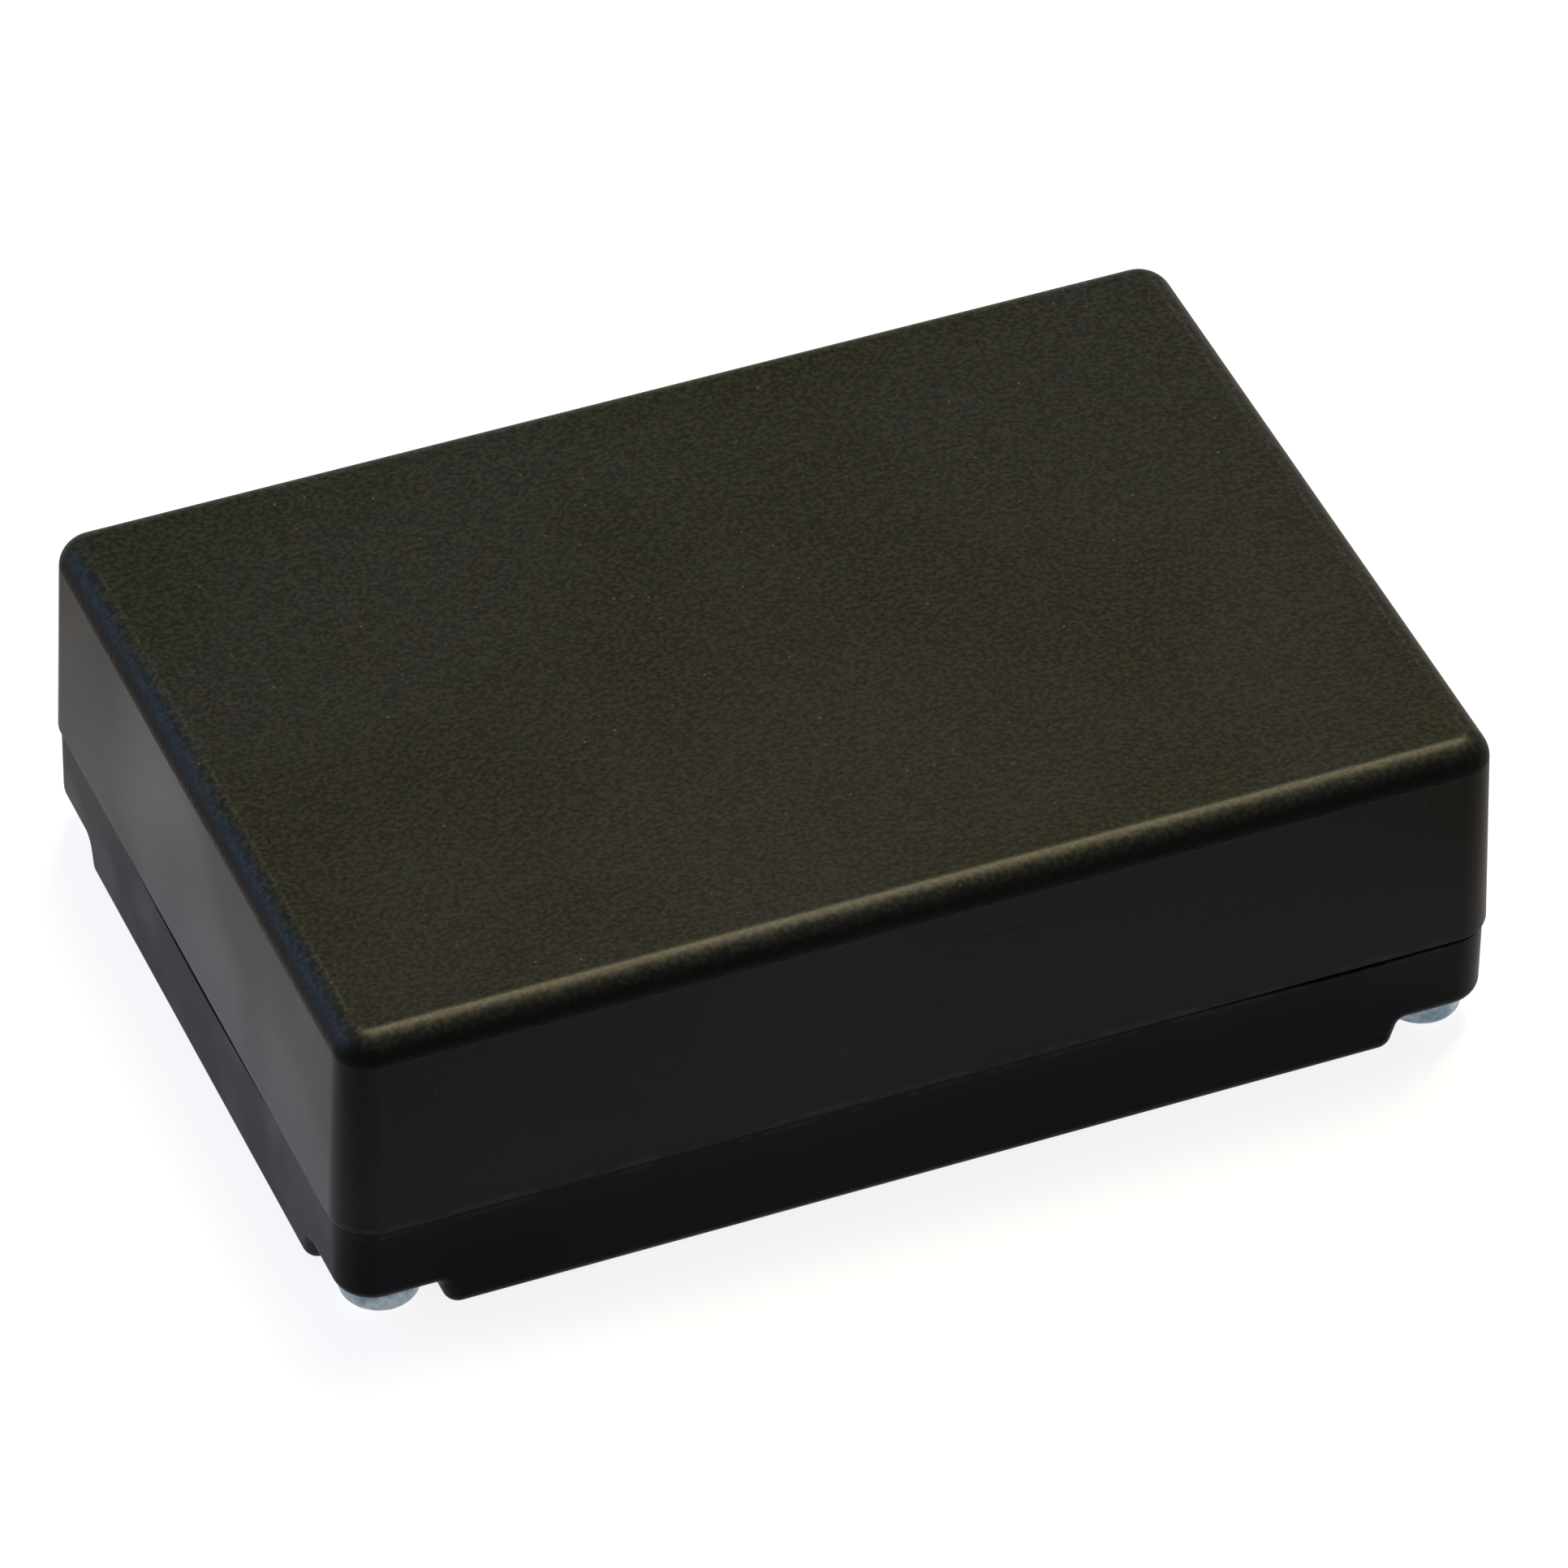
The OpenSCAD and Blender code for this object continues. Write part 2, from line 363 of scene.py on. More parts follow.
# Sizes in millimetres of the grain, clouds, mottle and specks of each finish
CASE_SIZES = (0.32, 22.0, 0.9, 1.1)
COVER_SIZES = (0.18, 10.0, 0.7, 1.0)
ZINC_SIZES = (0.12, 1.6, 0.3, 0.6)
# Bands in millimetres: the blurred start of the grain, the painted shade at the foot of the case's
# walls, the painted light on the upper part of the cover, the rubbing beside a rim, and that of the
# foot with its height and reach
LINE_BLUR = 0.03
WALL_SHADE_BAND = 2.5
COVER_LIGHT_BAND = 3.5
RIM_WEAR = 0.3
FOOT_WEAR = (0.6, 0.5)


class Nodes:
    """Adds nodes to one tree, side by side, and links them."""

    def __init__(self, tree):
        self.tree = tree
        self.count = 0

    def add(self, kind, sources=None, **settings):
        """A node with its settings, and each input linked or set."""
        node = self.tree.nodes.new(kind)
        node.location = (220 * (self.count % 8), -260 * (self.count // 8))
        self.count += 1
        for key, value in settings.items():
            setattr(node, key, value)
        for socket, source in (sources or {}).items():
            self.feed(node.inputs[socket], source)
        return node

    def feed(self, socket, source):
        """Links a socket to another one, or sets its value."""
        if isinstance(source, bpy.types.NodeSocket):
            self.tree.links.new(source, socket)
        elif isinstance(source, (tuple, list)) and len(source) == 3 and socket.type == "RGBA":
            socket.default_value = (*source, 1)
        else:
            socket.default_value = source

    def maths(self, operation, first, second=0.0, third=0.0, clamp=False):
        """The result of one sum."""
        node = self.add(
            "ShaderNodeMath", {0: first, 1: second, 2: third},
            operation=operation, use_clamp=clamp)
        return node.outputs[0]

    def scaled(self, vector, factor):
        """A vector times a number."""
        node = self.add(
            "ShaderNodeVectorMath", {0: vector, "Scale": factor}, operation="SCALE")
        return node.outputs[0]

    def band(self, value, low, high, start=0.0, end=1.0):
        """A soft step from start to end between two values."""
        node = self.add(
            "ShaderNodeMapRange",
            {"Value": value, "From Min": low, "From Max": high, "To Min": start, "To Max": end},
            interpolation_type="SMOOTHSTEP", clamp=True)
        return node.outputs[0]

    def noise(self, vector, scale, detail=2.0, roughness=0.5):
        """A noise value about one half."""
        node = self.add(
            "ShaderNodeTexNoise",
            {"Vector": vector, "Scale": scale, "Detail": detail, "Roughness": roughness})
        return node.outputs[0]

    def height(self, vector):
        """The upright part of a vector."""
        return self.add("ShaderNodeSeparateXYZ", {0: vector}).outputs["Z"]

    def blend(self, factor, first, second, blend_type="MIX"):
        """One colour over another."""
        node = self.add(
            "ShaderNodeMix", {0: factor, 6: first, 7: second},
            data_type="RGBA", blend_type=blend_type)
        return node.outputs[2]

    def mix_numbers(self, factor, first, second):
        """One number over another."""
        node = self.add(
            "ShaderNodeMix", {0: factor, 2: first, 3: second}, data_type="FLOAT")
        return node.outputs[0]

    def dab(self, mask, most, first, second):
        """One colour over another where a mask shows, by no more than a share."""
        return self.blend(self.maths("MULTIPLY", mask, most), first, second)

    def group(self, tree, sources):
        """A shared effect placed with its own values."""
        return self.add("ShaderNodeGroup", sources, node_tree=tree).outputs


def new_group(name, inputs, outputs):
    """An empty node group with its sockets, its inputs and its output node."""
    tree = bpy.data.node_groups.new(name, "ShaderNodeTree")
    for label, kind, default in inputs:
        socket = tree.interface.new_socket(
            name=label, in_out="INPUT", socket_type="NodeSocket" + kind)
        if default is not None:
            socket.default_value = default
    for label, kind in outputs:
        tree.interface.new_socket(name=label, in_out="OUTPUT", socket_type="NodeSocket" + kind)
    nodes = Nodes(tree)
    entry = nodes.add("NodeGroupInput")
    leave = nodes.add("NodeGroupOutput")
    return nodes, entry.outputs, leave


def eroded_grain():
    """Fine grain of a spark-eroded mould: its height and its pale grains."""
    nodes, given, leave = new_group(
        "Eroded grain",
        [("Vector", "Vector", None), ("Grain Size", "Float", 0.3)],
        [("Height", "Float"), ("Grains", "Float")])
    scale = nodes.maths("DIVIDE", 1.0, given["Grain Size"])
    fine = nodes.noise(given["Vector"], scale, 1.0, 0.5)
    cells = nodes.add(
        "ShaderNodeTexVoronoi",
        {"Vector": given["Vector"], "Scale": scale, "Smoothness": 0.6},
        feature="SMOOTH_F1").outputs["Distance"]
    sunken = nodes.maths("MULTIPLY", cells, 0.4)
    nodes.feed(leave.inputs["Height"], nodes.maths("SUBTRACT", fine, sunken))
    nodes.feed(leave.inputs["Grains"], nodes.band(fine, 0.38, 0.68))
    return nodes.tree


def cloud_tint():
    """Broad uneven tint with a finer mottle inside it."""
    nodes, given, leave = new_group(
        "Cloud tint",
        [("Vector", "Vector", None), ("Cloud Size", "Float", 12.0), ("Mottle Size", "Float", 0.8)],
        [("Clouds", "Float"), ("Mottle", "Float")])
    broad = nodes.noise(given["Vector"], nodes.maths("DIVIDE", 1.0, given["Cloud Size"]), 2.0, 0.5)
    small = nodes.noise(given["Vector"], nodes.maths("DIVIDE", 1.0, given["Mottle Size"]), 1.5, 0.5)
    nodes.feed(leave.inputs["Clouds"], nodes.band(broad, 0.4, 0.6))
    nodes.feed(leave.inputs["Mottle"], nodes.band(small, 0.34, 0.66))
    return nodes.tree


def handling_marks():
    """Sparse pale specks and hairline scratches left by handling."""
    nodes, given, leave = new_group(
        "Handling marks",
        [("Vector", "Vector", None), ("Speck Size", "Float", 0.9)],
        [("Specks", "Float"), ("Scratches", "Float")])
    scale = nodes.maths("DIVIDE", 1.0, given["Speck Size"])
    specks = nodes.add(
        "ShaderNodeTexVoronoi",
        {"Vector": given["Vector"], "Scale": scale}).outputs["Distance"]
    keep = nodes.band(nodes.noise(given["Vector"], 0.9, 1.0), 0.5, 0.62)
    dots = nodes.maths("MULTIPLY", nodes.band(specks, 0.1, 0.04), keep)
    stretched = nodes.add(
        "ShaderNodeMapping",
        {"Vector": given["Vector"], "Rotation": (0.3, 0.2, 0.7), "Scale": (0.12, 5.0, 5.0)}).outputs[0]
    lines = nodes.band(nodes.noise(stretched, 1.0, 1.0), 0.7, 0.76)
    nodes.feed(leave.inputs["Specks"], dots)
    nodes.feed(leave.inputs["Scratches"], lines)
    return nodes.tree


def edge_wear():
    """Uneven rubbing along an edge that runs at one height."""
    nodes, given, leave = new_group(
        "Edge wear",
        [("Vector", "Vector", None), ("Edge Height", "Float", 7.4), ("Reach", "Float", 0.3)],
        [("Wear", "Float")])
    height = nodes.height(given["Vector"])
    away = nodes.maths("ABSOLUTE", nodes.maths("SUBTRACT", height, given["Edge Height"]))
    near = nodes.band(away, given["Reach"], 0.0)
    broken = nodes.band(nodes.noise(given["Vector"], 0.5, 3.0, 0.6), 0.42, 0.6)
    nodes.feed(leave.inputs["Wear"], nodes.maths("MULTIPLY", near, broken))
    return nodes.tree


def new_material(name, specular):
    """A node material, its node adder, its shader and the place in millimetres."""
    material = bpy.data.materials.new(name)
    material.use_nodes = True
    tree = material.node_tree
    tree.nodes.clear()
    nodes = Nodes(tree)
    output = nodes.add("ShaderNodeOutputMaterial")
    shader = nodes.add("ShaderNodeBsdfPrincipled", {"Specular IOR Level": specular})
    tree.links.new(shader.outputs[0], output.inputs["Surface"])
    place = nodes.add("ShaderNodeTexCoord").outputs["Object"]
    return material, nodes, shader, nodes.scaled(place, 1 / MM)


def place_effects(nodes, effects, place, sizes):
    """Grain, tint and marks at one finish's own sizes."""
    grain_size, cloud_size, mottle_size, speck_size = sizes
    grain = nodes.group(effects["grain"], {"Vector": place, "Grain Size": grain_size})
    tint = nodes.group(
        effects["tint"], {"Vector": place, "Cloud Size": cloud_size, "Mottle Size": mottle_size})
    marks = nodes.group(effects["marks"], {"Vector": place, "Speck Size": speck_size})
    return grain, tint, marks


def place_wear(nodes, effects, place, edge_height, reach):
    """Rubbing along one edge."""
    sources = {"Vector": place, "Edge Height": edge_height, "Reach": reach}
    return nodes.group(effects["wear"], sources)["Wear"]


def scratched_roughness(nodes, base, mask, more, marks, scratched):
    """A roughness that rises with a mask, and again in the scratches."""
    rough = nodes.maths("MULTIPLY_ADD", mask, more, base)
    return nodes.maths("MULTIPLY_ADD", marks["Scratches"], scratched, rough)


def feed_bump(nodes, shader, height, distance):
    """Feeds the normal from a height."""
    bump = nodes.add(
        "ShaderNodeBump", {"Strength": 1.0, "Distance": distance, "Height": height})
    nodes.feed(shader.inputs["Normal"], bump.outputs[0])


def case_plastic(settings, effects):
    """Dark plastic: grained on the closed face and its roll, smooth on the walls, with painted shade
    at the foot of the roll and of the walls.
    """
    material, nodes, shader, place = new_material("Grained case plastic", 0.1)
    grain, tint, marks = place_effects(nodes, effects, place, CASE_SIZES)
    height = nodes.height(place)
    rim = settings.rim / MM
    top = CASE_HIGH.z / MM
    roll = settings.roll / MM
    # The roll starts at this line, and so does the grain
    line = top - roll * (1 - math.sin(settings.draft))
    grained = nodes.band(height, line - LINE_BLUR, line + LINE_BLUR)

    face = nodes.blend(tint["Clouds"], settings.face_colour[:], settings.face_tint[:])
    shadowed = nodes.blend(1.0, face, FACE_SHADOW, "MULTIPLY")
    face = nodes.dab(tint["Mottle"], 0.8, face, shadowed)
    pale = nodes.blend(0.3, face, FACE_GRAINS)
    face = nodes.dab(grain["Grains"], 0.26, face, pale)
    face = nodes.dab(marks["Specks"], 0.5, face, FACE_SPECKS)
    # Painted shade: the roll's foot is painted dark, lightening toward the closed face
    painted_shade_ramp = nodes.band(height, line + 0.45 * roll, top - 0.02 * roll)
    face = nodes.blend(painted_shade_ramp, settings.roll_foot_shade_colour[:], face)

    wall = nodes.dab(tint["Mottle"], 0.5, settings.wall_colour[:], WALL_MOTTLE)
    # Painted shade: the walls darken toward the rim at their foot
    low = nodes.band(height, rim + WALL_SHADE_BAND, rim)
    wall = nodes.dab(low, 0.9, wall, WALL_FOOT_SHADE)
    wall = nodes.dab(marks["Specks"], 0.3, wall, SPECKS)
    wear = place_wear(nodes, effects, place, rim + RIM_WEAR, RIM_WEAR)
    wall = nodes.dab(wear, 0.3, wall, RUBBED)
    nodes.feed(shader.inputs["Base Color"], nodes.blend(grained, wall, face))

    face_rough = nodes.maths("MULTIPLY_ADD", grain["Grains"], 0.06, 0.4)
    wall_rough = scratched_roughness(nodes, 0.32, tint["Clouds"], 0.08, marks, 0.15)
    rough = nodes.mix_numbers(grained, wall_rough, face_rough)
    nodes.feed(shader.inputs["Roughness"], rough)
    wall_wave = nodes.maths("MULTIPLY", nodes.noise(place, 6.0, 2.0), 0.02)
    feed_bump(nodes, shader, nodes.mix_numbers(grained, wall_wave, grain["Height"]), GRAIN_BUMP)

    # The roll is burnished most just below the face
    rising = nodes.band(height, line + 0.2 * roll, line + 0.75 * roll)
    falling = nodes.band(height, top, top - 0.018 * roll)
    burnish = nodes.maths("MULTIPLY", rising, falling)
    raised = nodes.maths("MULTIPLY_ADD", grain["Grains"], 0.2, 0.36)
    nodes.feed(shader.inputs["Coat Weight"], nodes.maths("MULTIPLY", burnish, raised))
    shader.inputs["Coat Roughness"].default_value = 0.47
    return material


def cover_plastic(settings, effects):
    """Smooth dark plastic, rubbed along its rim and its foot, with painted light toward its rim."""
    material, nodes, shader, place = new_material("Smooth cover plastic", 0.05)
    grain, tint, marks = place_effects(nodes, effects, place, COVER_SIZES)
    rim = settings.rim / MM
    base = nodes.dab(tint["Mottle"], 0.5, settings.body_colour[:], COVER_MOTTLE)
    # Painted light: the cover pales toward its rim, so it is darker toward its foot
    painted_shade_ramp = nodes.band(nodes.height(place), rim - COVER_LIGHT_BAND, rim)
    base = nodes.blend(painted_shade_ramp, base, COVER_PAINTED_LIGHT)
    base = nodes.dab(marks["Specks"], 0.3, base, SPECKS)
    rim_wear = place_wear(nodes, effects, place, rim - RIM_WEAR, RIM_WEAR)
    foot_wear = place_wear(nodes, effects, place, *FOOT_WEAR)
    wear = nodes.maths("ADD", rim_wear, foot_wear)
    nodes.feed(shader.inputs["Base Color"], nodes.dab(wear, 0.25, base, RUBBED))
    rough = scratched_roughness(nodes, 0.38, tint["Clouds"], 0.08, marks, 0.15)
    nodes.feed(shader.inputs["Roughness"], rough)
    feed_bump(nodes, shader, grain["Height"], FINE_BUMP)
    return material


def zinc_steel(settings, effects):
    """Bright zinc plating with a cloudy, slightly scratched surface."""
    material, nodes, shader, place = new_material("Bright zinc", 0.5)
    shader.inputs["Metallic"].default_value = 1.0
    grain, tint, marks = place_effects(nodes, effects, place, ZINC_SIZES)
    cloudy = nodes.blend(tint["Clouds"], settings.zinc_colour[:], ZINC_CLOUDS)
    nodes.feed(shader.inputs["Base Color"], nodes.dab(tint["Mottle"], 0.25, cloudy, ZINC_DULL))
    rough = scratched_roughness(nodes, 0.26, tint["Mottle"], 0.14, marks, 0.2)
    nodes.feed(shader.inputs["Roughness"], rough)
    feed_bump(nodes, shader, grain["Height"], FINE_BUMP)
    return material


def shared_effects():
    """The node groups that the finishes share, made once."""
    makers = {
        "Eroded grain": ("grain", eroded_grain),
        "Cloud tint": ("tint", cloud_tint),
        "Handling marks": ("marks", handling_marks),
        "Edge wear": ("wear", edge_wear),
    }
    return {
        key: bpy.data.node_groups.get(name) or make() for name, (key, make) in makers.items()
    }


# ---------------------------------------------------------------- pieces

# Where the cover's rim sags, how far along the side, and the front's share of the sag
LEFT_BOW_Y = -1 * MM
LEFT_BOW_REACH = 13 * MM
FRONT_BOW_X = 27 * MM
FRONT_BOW_REACH = 7 * MM
FRONT_BOW_SHARE = 0.4
# How far the rim rises round the left front corner, and its reach along both sides
TIGHT_RISE = 0.12 * MM
TIGHT_X = 52 * MM
TIGHT_Y = 9 * MM
# Distance between the cuts that let the rim follow its warp, and their number each way
WARP_STEP = 3 * MM
WARP_CUTS_Y = 6
WARP_CUTS_X = 11
# How far each screw is turned, in degrees
SCREW_TURNS = (17, 64, -22, 41)
# Radius left at the end of a screw's point, and how far it ends short of the full length
POINT_RADIUS = 0.05 * MM
POINT_SHORT = 0.02 * MM
# Thread: half its foot and its start as shares of the pitch, depth of the foot, half its crest
THREAD_FOOT = 0.36
THREAD_START = 0.6
THREAD_SINK = 0.1 * MM
THREAD_CREST = 0.04 * MM
# Driving cross: how far its blades stand out of the mouth, and their taper
BLADE_OUT = 0.2 * MM
BLADE_TAPER = (0.5, 0.6, 1)


def screw_places(screws):
    """Middle of each screw, seen from above."""
    x = SCREWS_HIGH.x - screws.head / 2
    y = SCREWS_HIGH.y - screws.head / 2
    return [(sx * x, sy * y) for sx, sy in CORNERS]


class BOX_OT_case(bpy.types.Operator):
    """Makes the deep case with its closed face, screw bosses and board guides"""

    bl_idname = "project_box.make_case"
    bl_label = "Make Case"

    def execute(self, context):
        s = context.scene.box_case
        screws = context.scene.box_screws
        lean = math.tan(s.draft)
        degrees = math.degrees(s.draft)
        top, br = CASE_HIGH.z, s.edge_break
        start = s.rim + br
        shrink = 2 * br * lean
        bm, face = round_rectangle(
            2 * CASE_HIGH.x - shrink, 2 * CASE_HIGH.y - shrink, s.corner - shrink / 2,
            start, CORNER_SEGMENTS)
        rise = top - s.roll * (1 - math.sin(s.draft)) - start
        carry(bm, face, [(rise * lean, rise)])
        carry(bm, face, arc_steps(s.roll, degrees, 90, ROLL_SEGMENTS))
        face = close_rim(bm, down=True)
        carry(bm, face, arc_steps(br, 0, 90, EDGE_SEGMENTS))
        carry(bm, face, [(s.wall - 2 * br, 0)])
        carry(bm, face, sunk(hollow_steps(br, EDGE_SEGMENTS)))
        ceiling = top - s.face
        rise = ceiling - s.inner_edge - start
        carry(bm, face, sunk([(rise * lean, rise)]))
        carry(bm, face, sunk(arc_steps(s.inner_edge, 0, 90, EDGE_SEGMENTS)))
        piece = as_object("deep_case", bm)

        bosses = bmesh.new()
        holes = bmesh.new()
        for x, y in screw_places(screws):
            add_post(bosses, x, y, CASE_LOW.z, ceiling + SINK, s.boss)
            add_post(holes, x, y, CASE_LOW.z - CUT, s.hole_end, s.hole, HOLE_SEGMENTS)
        combine(piece, bosses, "UNION")
        guides = bmesh.new()
        wall_y = CASE_HIGH.y - s.wall
        offset = (s.guide_slot + s.guide) / 2
        for slot_x in (-s.guide_pitch / 2, s.guide_pitch / 2):
            for x in (slot_x - offset, slot_x + offset):
                for low_y, high_y in (
                    (-wall_y - SINK, s.guide_depth - wall_y),
                    (wall_y - s.guide_depth, wall_y + SINK),
                ):
                    add_block(
                        guides, (x - s.guide / 2, low_y, s.guide_low),
                        (x + s.guide / 2, high_y, ceiling + SINK))
        combine(piece, guides, "UNION")
        combine(piece, holes, "DIFFERENCE")
        finish_mesh(
            piece, case_plastic(s, shared_effects()), "root", "case_shell")
        return {"FINISHED"}


class BOX_OT_cover(bpy.types.Operator):
    """Makes the stepped cover with its screw recesses, pillars and locating lip"""

    bl_idname = "project_box.make_cover"
    bl_label = "Make Cover"

    def execute(self, context):
        s = context.scene.box_cover
        places = screw_places(context.scene.box_screws)
        half_x, half_y = COVER_HIGH.x, COVER_HIGH.y
        br = s.edge_break
        start = s.rim - br
        bm, face = round_rectangle(
            2 * half_x, 2 * half_y, s.corner, start, CORNER_SEGMENTS, down=True)
        carry(bm, face, [(0, start)])
        face = close_rim(bm, down=False)
        carry(bm, face, arc_steps(br, 0, 90, EDGE_SEGMENTS))
        carry(bm, face, [(s.wall - 2 * br, 0)])
        carry(bm, face, sunk(hollow_steps(br, EDGE_SEGMENTS)))
        carry(bm, face, [(0, s.floor - start)])
        warp_rim(bm, s, half_x, half_y)
        piece = as_object("stepped_cover", bm)

        pads = bmesh.new()
        pad_top = s.recess_depth + s.floor
        reach = s.wall / 2
        for sx, sy in CORNERS:
            xs = sorted((sx * (half_x - s.recess_length - s.recess_side), sx * (half_x - reach)))
            ys = sorted((sy * (half_y - s.recess_width - s.recess_side), sy * (half_y - reach)))
            made = add_block(pads, (xs[0], ys[0], s.floor - SINK), (xs[1], ys[1], pad_top))
            inner = [
                edge for edge in pads.edges
                if edge.verts[0] in made and abs(edge.verts[0].co.z - edge.verts[1].co.z) > SINK
                and abs(edge.verts[0].co.x) < half_x - s.recess_length
                and abs(edge.verts[0].co.y) < half_y - s.recess_width]
            bmesh.ops.bevel(
                pads, geom=inner, offset=s.recess_corner, offset_type="OFFSET",
                segments=PAD_SEGMENTS, profile=0.5, affect="EDGES", material=-1)
        combine(piece, pads, "UNION")

        lip = bmesh.new()
        out_x, out_y = half_x - s.lip_gap, half_y - s.lip_gap
        end_x, end_y = abs(places[0][0]) - s.lip_end, abs(places[0][1]) - s.lip_end
        low, high = s.floor - SINK, COVER_HIGH.z
        for low_corner, high_corner in (
            ((-end_x, out_y - s.lip), (end_x, out_y)),
            ((-end_x, -out_y), (end_x, s.lip - out_y)),
            ((out_x - s.lip, -end_y), (out_x, end_y)),
            ((-out_x, -end_y), (s.lip - out_x, end_y)),
        ):
            add_block(lip, (*low_corner, low), (*high_corner, high))
        combine(piece, lip, "UNION")
        pillars = bmesh.new()
        holes = bmesh.new()
        for x, y in places:
            add_post(pillars, x, y, s.recess_depth + SINK, s.rim, s.pillar)
            add_post(holes, x, y, 0, s.rim + CUT, s.hole, HOLE_SEGMENTS)
        combine(piece, pillars, "UNION")
        for sx, sy in CORNERS:
            combine(piece, recess_cutter(s, sx * half_x, sy * half_y), "DIFFERENCE")
        round_foot(piece, s, half_x, half_y)
        combine(piece, holes, "DIFFERENCE")
        finish_mesh(
            piece, cover_plastic(s, shared_effects()), "root", "bottom_cover")
        return {"FINISHED"}


def warp_rim(bm, s, half_x, half_y):
    """Warps the rim: tight at the left front corner, sagging beyond it on both sides."""
    everything = bm.verts[:] + bm.edges[:] + bm.faces[:]
    for axis, count in (((0, 1, 0), WARP_CUTS_Y), ((1, 0, 0), WARP_CUTS_X)):
        for step in range(-count, count + 1):
            place = Vector(axis) * step * WARP_STEP
            everything = bmesh.ops.bisect_plane(
                bm, geom=everything, plane_co=place, plane_no=axis)["geom"]
    for vert in bm.verts:
        if vert.co.z < s.rim - 2 * s.edge_break:
            continue
        tight = math.hypot((vert.co.x + half_x) / TIGHT_X, (vert.co.y + half_y) / TIGHT_Y)
        vert.co.z += TIGHT_RISE * math.exp(-tight ** 4)
        if vert.co.x < s.wall - half_x + s.edge_break:
            away = (vert.co.y - LEFT_BOW_Y) / LEFT_BOW_REACH
            vert.co.z -= s.bow * math.exp(-away * away)
        elif vert.co.y < s.wall - half_y + s.edge_break:
            away = (vert.co.x - FRONT_BOW_X) / FRONT_BOW_REACH
            vert.co.z -= FRONT_BOW_SHARE * s.bow * math.exp(-away * away)


def round_foot(piece, s, half_x, half_y):
    """Rounds the lower edge of the outside, along the foot and through the recesses."""
    bm = bmesh.new()
    bm.from_mesh(piece.data)
    bmesh.ops.remove_doubles(bm, verts=bm.verts, dist=CUT_WELD)

    def outside(face):
        for vert in face.verts:
            past_x = abs(vert.co.x) - half_x + s.corner
            past_y = abs(vert.co.y) - half_y + s.corner
            away = math.hypot(max(past_x, 0), max(past_y, 0)) + min(max(past_x, past_y), 0)
            if abs(away - s.corner) > ON_OUTSIDE:
                return False
        return True

    outer = {face for face in bm.faces if outside(face)}
    contour = [
        edge for edge in bm.edges
        if sum(face in outer for face in edge.link_faces) == 1
        and edge.verts[0].co.z + edge.verts[1].co.z < s.rim]
    bmesh.ops.bevel(
        bm, geom=contour, offset=s.foot_edge, offset_type="OFFSET", segments=FOOT_SEGMENTS,
        profile=0.5, affect="EDGES", material=-1, clamp_overlap=False)
    bm.to_mesh(piece.data)
    bm.free()


def recess_cutter(s, corner_x, corner_y):
    """Clear space for one screw head, open to both outside faces of the cover."""
    lean = math.degrees(s.recess_lean)
    run_out = s.recess_edge / math.tan(math.radians(90 + lean) / 2)
    foot_r = s.recess_corner + s.recess_depth * math.tan(s.recess_lean)
    bm, face = round_rectangle(
        2 * (s.recess_length + CUT + run_out), 2 * (s.recess_width + CUT + run_out),
        foot_r + run_out, -CUT, RECESS_SEGMENTS)
    carry(bm, face, [(0, CUT)])
    edge = arc_steps(s.recess_edge, 0, 90 - lean, RUN_OUT_SEGMENTS)
    carry(bm, face, [(rise, inset) for inset, rise in edge])
    edge_rise = s.recess_edge * (1 - math.sin(s.recess_lean))
    fillet_rise = s.recess_fillet * (1 - math.sin(s.recess_lean))
    wall_rise = s.recess_depth - edge_rise - fillet_rise
    carry(bm, face, [(wall_rise * math.tan(s.recess_lean), wall_rise)])
    carry(bm, face, arc_steps(s.recess_fillet, lean, 90, FILLET_SEGMENTS))
    close_rim(bm, down=True)
    middle = (corner_x + math.copysign(CUT, corner_x), corner_y + math.copysign(CUT, corner_y), 0)
    bmesh.ops.translate(bm, vec=middle, verts=bm.verts)
    return bm


class BOX_OT_screws(bpy.types.Operator):
    """Makes the four pan-head screws with their threads and driving crosses"""

    bl_idname = "project_box.make_screws"
    bl_label = "Make Screws"

    def execute(self, context):
        s = context.scene.box_screws
        low, tip = SCREWS_LOW.z, SCREWS_HIGH.z
        bm = bmesh.new()
        bmesh.ops.create_circle(bm, cap_ends=True, segments=HEAD_SEGMENTS, radius=s.head / 2)
        bmesh.ops.translate(bm, vec=(0, 0, s.seat), verts=bm.verts)
        face = bm.faces[:][0]
        face.normal_update()
        if face.normal.z > 0:
            face.normal_flip()
        carry(bm, face, [(0, s.seat - low - s.head_edge)])
        carry(bm, face, arc_steps(s.head_edge, 0, 90, HEAD_EDGE_SEGMENTS))
        face = close_rim(bm, down=False)
        carry(bm, face, [((s.head - s.core) / 2, 0), (0, tip - s.point - s.seat)])
        carry(bm, face, [(s.core / 2 - POINT_RADIUS, s.point - POINT_SHORT)])
        piece = as_object("screw_blank", bm)
        combine(piece, screw_thread(s, tip), "UNION")
        for turn in (0, 90):
            combine(piece, cross_blade(s, low, turn), "DIFFERENCE")
        material = zinc_steel(s, shared_effects())
        blank = piece.data
        for number, ((x, y), turn) in enumerate(zip(screw_places(s), SCREW_TURNS), 1):
            mesh = blank.copy()
            screw = bpy.data.objects.new(f"pan_head_screw_{number}", mesh)
            bpy.context.scene.collection.objects.link(screw)
            turned = Matrix.Translation((x, y, 0)) @ Matrix.Rotation(math.radians(turn), 4, "Z")
            mesh.transform(turned)
            finish_mesh(screw, material, "root", "cover_screws")
        bpy.data.objects.remove(piece)
        bpy.data.meshes.remove(blank)
        return {"FINISHED"}


